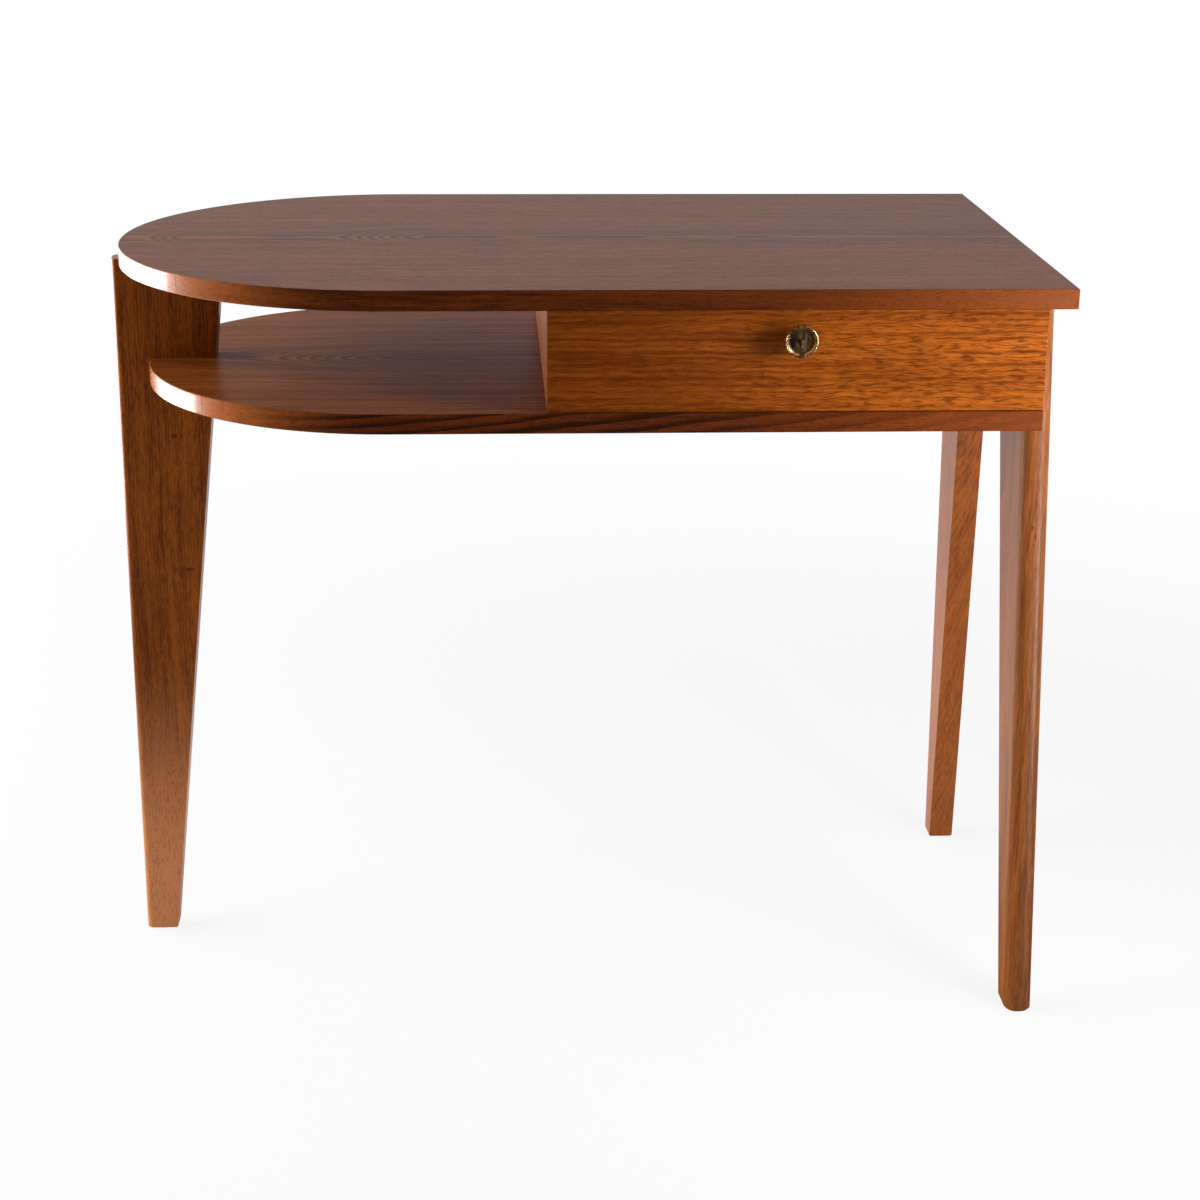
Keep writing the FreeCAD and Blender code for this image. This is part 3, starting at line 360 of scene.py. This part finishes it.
OAK_BOARDS = {
    "top_panel": dict(
        grain="XYZ", light=srgb(166, 88, 36), dark=srgb(98, 44, 15), pore=TOP_PORE, seed=3.1,
        pith=(middle, 26 - top_high.z, 8, 0.004, (-252, 107, 30), (-429, 41, 14)), spacing=4.4, stretch=0.5,
        wave=(90, 1.0), rings=0.55, years=0.35, ticked=0.55, figure=0.85, roughness=0.34, specular=0.058),
    "shelf_panel": dict(
        grain="XYZ", light=srgb(180, 102, 46), dark=srgb(114, 59, 25), pore=TOP_PORE, seed=7.7,
        pith=(middle - 12, 22 - shelf_high.z, 8, -0.01, (-330, 150, 24)), spacing=3.6, stretch=0.6,
        wave=(90, 1.0), rings=0.4, ticked=0.3, figure=0.6, roughness=0.26, specular=0.01,
        fade=((350, 430, 0.3, DARK),)),
    # Painted light: the band lightens towards its right end and round the arc at the left, where the side
    # lamps light it
    "top_edge_band": dict(
        grain="XZY", light=BAND_LIGHT, dark=BAND_DARK, pore=PORE, seed=2.3, arc=top_arc,
        pith=(500, 60, 6, 0.12), spacing=3.0, stretch=0.5, wave=(40, 1.2), rings=0.15, fleck=0.25,
        roughness=0.2, specular=0.3, coat=0.3, marks=TOP_BAND_MARKS,
        fade=((80, 440, 0.8, srgb(144, 70, 16)), (-210, -400, 0.6, srgb(190, 102, 36)))),
    # Painted light: the band lightens towards its right end and round the arc at the left, where the side
    # lamps light it
    "shelf_edge_band": dict(
        grain="XZY", light=BAND_LIGHT, dark=BAND_DARK, pore=PORE, seed=5.9, arc=shelf_arc,
        pith=(760, 110, 6, 0.14), spacing=8.0, stretch=0.7, wave=(120, 1.5), rings=0.9, years=0.3,
        roughness=0.2, specular=0.3, coat=0.3, marks=SHELF_BAND_MARKS,
        fade=((50, 430, 0.5, srgb(154, 72, 14)), (-200, -400, 0.6, srgb(206, 110, 40)))),
    "divider_panel": dict(
        grain="ZYX", light=srgb(214, 124, 52), dark=srgb(146, 76, 28), pore=PORE, seed=4.4,
        pith=(300, 60, 10, 0.0)),
    "end_panel": dict(
        grain="ZYX", light=LIGHT, dark=DARK, pore=PORE, seed=6.4, pith=(-260, 70, 10, 0.0)),
    "back_panel": dict(
        grain="XZY", light=LIGHT, dark=DARK, pore=PORE, seed=8.2, pith=(600, 60, 8, 0.02), wave=(90, 1.5)),
    # The drawer front's left end carries painted shade, darker away from the lamps on the right
    "drawer_front": dict(
        grain="XZY", light=srgb(192, 102, 27), dark=srgb(130, 61, 10), pore=DRAWER_PORE, seed=9.3,
        pith=(480, 260, 20, 0.0), spacing=6.0, wave=(42, 3.0), fibres=0.8, ticked=0.35, fleck=0.66,
        specular=0.06, painted_shade=(260, -30, DRAWER_PAINTED_SHADE), marks=DRAWER_MARKS),
    # Painted light: the leg lightens towards its foot, where the pale floor lights it and shows in its sheen
    "left_leg": dict(
        grain="ZXY", light=srgb(154, 80, 17), dark=srgb(96, 45, 8), pore=PORE, seed=1.7,
        pith=(-700, 40, 20, 0.03), spacing=3.5, stretch=0.6, rings=0.25, years=0.4, fibres=0.95, ticked=0.3,
        specular=0.14, coat=0.1, fade=((330, 60, 0.75, srgb(226, 148, 98)),), marks=LEFT_LEG_MARKS),
    "front_leg": dict(
        grain="ZYX", light=srgb(168, 96, 39), dark=srgb(106, 56, 22), pore=PORE, seed=10.6,
        pith=(-90, -290, 20, 0.02), stretch=1.3, rings=0.2, years=0.35, ticked=0.25, roughness=0.34,
        specular=0.16, marks=FRONT_LEG_MARKS),
    # Painted light: the leg lightens towards its foot, where the pale floor lights it
    "back_leg": dict(
        grain="ZYX", light=srgb(170, 91, 31), dark=srgb(104, 50, 14), pore=PORE, seed=12.9,
        pith=(90, -400, 8, 0.0), lean=(300, -0.12), spacing=3.0, wander=3.0, stretch=1.3, rings=0.3,
        years=0.3, ticked=0.25, specular=0.2, fade=((560, 200, 0.25, srgb(206, 118, 54)),),
        marks=BACK_LEG_MARKS),
}


def paint(node, material):
    slots = nodes[node].data.materials
    slots.clear()
    slots.append(material)


def paint_top(node, material, upright=0.9):
    """Gives the faces that look up a material of their own."""
    board = nodes[node]
    board.data.materials.append(material)
    turn = board.matrix_world.to_3x3()
    for face in board.data.polygons:
        if (turn @ face.normal).z > upright:
            face.material_index = 1


for board, look in OAK_BOARDS.items():
    paint(board, oak(board + "_oak", **look))
paint_top("top_edge_band", nodes["top_panel"].data.materials[0])
paint_top("shelf_edge_band", nodes["shelf_panel"].data.materials[0])

# Bare wood: cells in millimetres, as above, and where their tones turn
PALE_BAND_CELL = (260, 9)
PALE_FIBRE_CELL = (18, 0.7)
PALE_RAY_CELL = (2.6, 0.5)
PALE_BAND_SHARE, PALE_FIBRE_SHARE = 0.6, 0.5
PALE_TONE_EDGE = (0.25, 0.85)
PALE_RAY_EDGE = (0.62, 0.70)
PALE_RAY = srgb(126, 84, 52)
PALE_ROUGHNESS = 0.62
PALE_BUMP = 0.0001
PALE_BUMP_STRENGTH = 0.4


def pale_wood(name, grain, light, dark, seed, ray=0.5):
    """Bare planed wood with a close grain and short darker rays."""
    shader = new_shader(name)
    position = dict(zip("XYZ", shader.position()))
    point = [position[axis] for axis in grain]
    band = shader.grain_noise(point, PALE_BAND_CELL, seed, detail=3.0)
    fibre = shader.grain_noise(point, PALE_FIBRE_CELL, seed)
    rays = shader.step(shader.grain_noise(point, PALE_RAY_CELL, seed, detail=1.0), *PALE_RAY_EDGE)
    tone = shader.step(band * PALE_BAND_SHARE + fibre * PALE_FIBRE_SHARE, *PALE_TONE_EDGE)
    colour = shader.mix(rays * ray, shader.mix(tone, light, dark), PALE_RAY)
    return shader.surface(Base_Color=colour, Roughness=PALE_ROUGHNESS,
                          Normal=shader.bump(fibre, PALE_BUMP, PALE_BUMP_STRENGTH))


BEECH_LIGHT = srgb(214, 176, 134)
BEECH_DARK = srgb(186, 140, 98)
PLYWOOD_LIGHT = srgb(206, 168, 122)
PLYWOOD_DARK = srgb(180, 136, 92)
BEECH_BOARDS = {
    "case_dowels": ("ZXY", 1.2),
    "leg_dowels": ("ZXY", 2.2),
    "runner_left": ("YZX", 3.2),
    "runner_right": ("YZX", 4.2),
    "drawer_side_left": ("YZX", 5.2),
    "drawer_side_right": ("YZX", 6.2),
    "drawer_back": ("XZY", 7.2),
}
for board, (grain, seed) in BEECH_BOARDS.items():
    paint(board, pale_wood(board + "_beech", grain, BEECH_LIGHT, BEECH_DARK, seed))
paint("drawer_bottom", pale_wood("bottom_plywood", "XYZ", PLYWOOD_LIGHT, PLYWOOD_DARK, seed=8.2, ray=0.2))


# Metal and plastic

knob_low, knob_high = box_mm("knob")
knob_x = (knob_low.x + knob_high.x) / 2
knob_z = (knob_low.z + knob_high.z) / 2
knob_radius = (knob_high.z - knob_low.z) / 2

TARNISH_SIZE = 3.0
TARNISH_EDGE = (0.35, 0.70)
TARNISH_ROUGHNESS = 0.18
TARNISH_RISE = 0.5
SCRATCH_WIDTH, SCRATCH_LENGTH = 0.25, 2.5
WORN_DIRT = 0.9
METAL_BUMP = 0.00004
METAL_BUMP_STRENGTH = 0.2


def metal(name, bright, dull, roughness, amount, near=None, tarnish=0.0, edge=0.0):
    """Metal with patches of tarnish and fine scratches.

    amount is how dark the patches are. near gives the (inner, outer) radii of a worn rim
    round the knob's axis; tarnish is how far dull patches lose their metal shine; edge is
    how far its corners are polished round, in metres.
    """
    shader = new_shader(name)
    x, y, z = shader.position()
    point = shader.vector(x / TARNISH_SIZE, y / TARNISH_SIZE, z / TARNISH_SIZE)
    patch = shader.step(shader.noise(point, 4.0, 0.6), *TARNISH_EDGE)
    scratch = shader.noise(shader.vector(x / SCRATCH_WIDTH, y / SCRATCH_LENGTH, z / SCRATCH_WIDTH))
    dirt = patch * amount
    if near:
        worn = shader.step(shader.length(x - knob_x, z - knob_z), *near)
        dirt = shader.math("MAXIMUM", dirt, (1 - worn) * WORN_DIRT)
    height = scratch + patch * TARNISH_RISE
    normal = shader.node("ShaderNodeBump", {"Height": height, "Distance": METAL_BUMP,
                                            "Strength": METAL_BUMP_STRENGTH})
    if edge:
        shader.feed(normal.inputs["Normal"], shader.node("ShaderNodeBevel", {"Radius": edge}).outputs[0])
    return shader.surface(Base_Color=shader.mix(dirt, bright, dull),
                          Metallic=1 - dirt * tarnish if tarnish else 1.0,
                          Roughness=patch * TARNISH_ROUGHNESS + roughness, Normal=normal.outputs[0])


BRASS = dict(bright=srgb(240, 204, 148), dull=srgb(84, 54, 28))
PLUG_BRASS = dict(bright=srgb(150, 114, 74), dull=BRASS["dull"])
KEY_NICKEL = dict(bright=srgb(164, 128, 92), dull=srgb(104, 76, 50))
ZINC = dict(bright=srgb(184, 182, 176), dull=srgb(110, 106, 98))
LOCK_STEEL = dict(bright=srgb(150, 147, 140), dull=srgb(88, 82, 74))
RIM_WIDTHS = (4.2, 2.6)
KNOB_RIM = [knob_radius - width for width in RIM_WIDTHS]
METALS = {
    "knob": dict(BRASS, roughness=0.16, amount=0.25, tarnish=0.3, edge=0.0009, near=KNOB_RIM),
    "lock_plug": dict(PLUG_BRASS, roughness=0.3, amount=0.8, tarnish=0.3),
    "key": dict(KEY_NICKEL, roughness=0.3, amount=0.7, tarnish=0.2),
    "lock_bolt": dict(BRASS, roughness=0.25, amount=0.4),
    "strike_plate": dict(BRASS, roughness=0.28, amount=0.4),
    "strike_screws": dict(BRASS, roughness=0.28, amount=0.4),
    "leg_screws": dict(ZINC, roughness=0.3, amount=0.5),
    "runner_screws": dict(ZINC, roughness=0.3, amount=0.5),
    "bottom_nails": dict(ZINC, roughness=0.3, amount=0.5),
    "lock_screws": dict(ZINC, roughness=0.3, amount=0.5),
    "lock_case": dict(LOCK_STEEL, roughness=0.38, amount=0.6),
    "lock_plate": dict(LOCK_STEEL, roughness=0.38, amount=0.6),
}
for piece, look in METALS.items():
    paint(piece, metal(piece + "_metal", **look))


def nylon(scuff_size=1.5, scuff_edge=(0.45, 0.75), scuffed=0.4):
    """Off-white nylon, scuffed darker in small patches."""
    shader = new_shader("glide_nylon")
    scuff = shader.grain_noise(shader.position(), (scuff_size, scuff_size), 0.0, detail=3.0)
    colour = shader.mix(shader.step(scuff, *scuff_edge) * scuffed, srgb(226, 224, 216), srgb(178, 172, 160))
    return shader.surface(Base_Color=colour, Roughness=0.5, Normal=shader.bump(scuff, 0.0001, 0.3))


paint("foot_glides", nylon())


# Floor, light and camera

WHITE = (1.0, 1.0, 1.0, 1.0)
FLOOR_COLOUR = (0.85, 0.85, 0.85, 1.0)
FLOOR_HALF = 20.0


def floor_material(shadow=0.14, shadow_reach=(700, 2200), mirror_reach=(-300, 500), mirror_least=0.03):
    """A pale floor, white to the camera apart from a share of its shadows.

    In reflections it is white only towards the back. Reaches are in millimetres.
    """
    shader = new_shader("studio_floor")
    x, y = shader.position()[:2]
    camera, glossy, clear = shader.rays()
    far = shader.step(shader.length(x, y), *shadow_reach)
    seen = shader.math("MAXIMUM", camera, clear) * (far * shadow + (1 - shadow))
    mirrored = shader.step(y, *mirror_reach) * (1 - mirror_least) + mirror_least
    lit = shader.node("ShaderNodeBsdfDiffuse", {"Color": FLOOR_COLOUR})
    white = shader.node("ShaderNodeEmission", {"Color": WHITE, "Strength": 1.0})
    dim = shader.node("ShaderNodeEmission", {"Color": WHITE, "Strength": mirrored})
    surface = shader.node("ShaderNodeMixShader", {0: seen, 1: lit.outputs[0], 2: white.outputs[0]})
    surface = shader.node("ShaderNodeMixShader", {0: glossy, 1: surface.outputs[0], 2: dim.outputs[0]})
    shader.node("ShaderNodeOutputMaterial", {"Surface": surface.outputs[0]})
    return shader.owner


def add_floor():
    mesh = bpy.data.meshes.new("studio_floor")
    corners = [(x * FLOOR_HALF, y * FLOOR_HALF, 0) for x, y in ((-1, -1), (1, -1), (1, 1), (-1, 1))]
    mesh.from_pydata(corners, [], [(0, 1, 2, 3)])
    floor = bpy.data.objects.new("studio_floor", mesh)
    floor.data.materials.append(floor_material())
    bpy.context.scene.collection.objects.link(floor)


def set_world(front=0.03, back=0.15, above=0.10, mirrored=0.04, behind_edge=(-0.3, 0.5),
              overhead_edge=(0.3, 1.0)):
    """White to the camera and in reflections of what is behind; a dim room in front.

    The edges are heights of the unit direction, to the back and upwards.
    """
    world = bpy.data.worlds.new("studio")
    bpy.context.scene.world = world
    shader = Shader(world)
    direction = shader.node("ShaderNodeTexCoord").outputs["Generated"]
    parts = shader.node("ShaderNodeSeparateXYZ", {0: direction})
    behind = shader.step(Field(shader, parts.outputs[1]), *behind_edge)
    overhead = shader.step(Field(shader, parts.outputs[2]), *overhead_edge)
    camera, glossy, clear = shader.rays()
    room = behind * (back - front) + front + overhead * above
    gloss = behind * (1 - mirrored) + mirrored
    strength = room * (1 - glossy) + gloss * glossy
    strength = shader.math("MAXIMUM", strength, shader.math("MAXIMUM", camera, clear))
    background = shader.node("ShaderNodeBackground", {"Color": WHITE, "Strength": strength})
    shader.node("ShaderNodeOutputWorld", {0: background.outputs[0]})


# Soft boxes, in metres and watts. Those without glossy light only matt matter, and those
# without diffuse show only as highlights.
LAMPS = {
    "left_soft_box": dict(place=(-2.5, 0.1, 1.1), target=(-0.3, 0.0, 0.5), size=(2.2, 1.8), power=94,
                          glossy=False),
    "back_soft_box": dict(place=(-1.66, 1.46, 0.9), target=(-0.42, -0.1, 0.6), size=(1.2, 1.4), power=11),
    "window": dict(place=(-1.69, 0.63, 0.42), target=(-0.405, -0.14, 0.70), size=(0.92, 0.65), power=30,
                   diffuse=False),
    "low_window": dict(place=(1.28, -1.14, 0.18), target=(0.445, -0.2, 0.57), size=(0.34, 0.24), power=20,
                       diffuse=False),
    "high_window": dict(place=(1.31, -0.5, 1.07), target=(0.198, -0.255, 0.711), size=(0.6, 0.6), power=10,
                        diffuse=False),
    "right_soft_box": dict(place=(1.0, -0.5, 0.8), target=(0.4, -0.2, 0.65), size=(0.4, 0.6), power=3.0),
    "front_soft_box": dict(place=(0.8, -0.7, 0.77), target=(0.35, -0.22, 0.66), size=(0.24, 0.34), power=5.6),
}


def add_lamp(name, place, target, size, power, diffuse=True, glossy=True):
    """A soft box that faces a point, unseen by the camera."""
    data = bpy.data.lights.new(name, "AREA")
    data.shape = "RECTANGLE"
    data.size, data.size_y = size
    data.energy = power
    lamp = bpy.data.objects.new(name, data)
    lamp.location = place
    lamp.rotation_euler = (Vector(target) - Vector(place)).to_track_quat("-Z", "Y").to_euler()
    lamp.visible_camera = False
    lamp.visible_diffuse = diffuse
    lamp.visible_glossy = glossy
    bpy.context.scene.collection.objects.link(lamp)


def add_camera():
    """The photograph's camera, fitted to the desk's straight edges, arcs and feet."""
    picture = 1200.0
    focal = 2319.7
    place = (-0.0921, -2.3142, 1.1730)
    yaw, pitch, roll = 0.0524, 0.3311, 0.0076
    data = bpy.data.cameras.new("camera")
    data.sensor_width = 36.0
    data.lens = focal / picture * data.sensor_width
    data.clip_end = 100.0
    camera = bpy.data.objects.new("camera", data)
    forward = Vector((math.sin(yaw) * math.cos(pitch), math.cos(yaw) * math.cos(pitch), -math.sin(pitch)))
    level = Vector((math.cos(yaw), -math.sin(yaw), 0.0))
    rise = level.cross(forward)
    right = level * math.cos(roll) + rise * math.sin(roll)
    up = rise * math.cos(roll) - level * math.sin(roll)
    turn = Matrix((right, up, -forward)).transposed().to_4x4()
    camera.matrix_world = Matrix.Translation(place) @ turn
    bpy.context.scene.collection.objects.link(camera)
    bpy.context.scene.camera = camera


add_floor()
set_world()
for name, settings in LAMPS.items():
    add_lamp(name, **settings)
add_camera()
bpy.context.scene.view_settings.view_transform = "Standard"
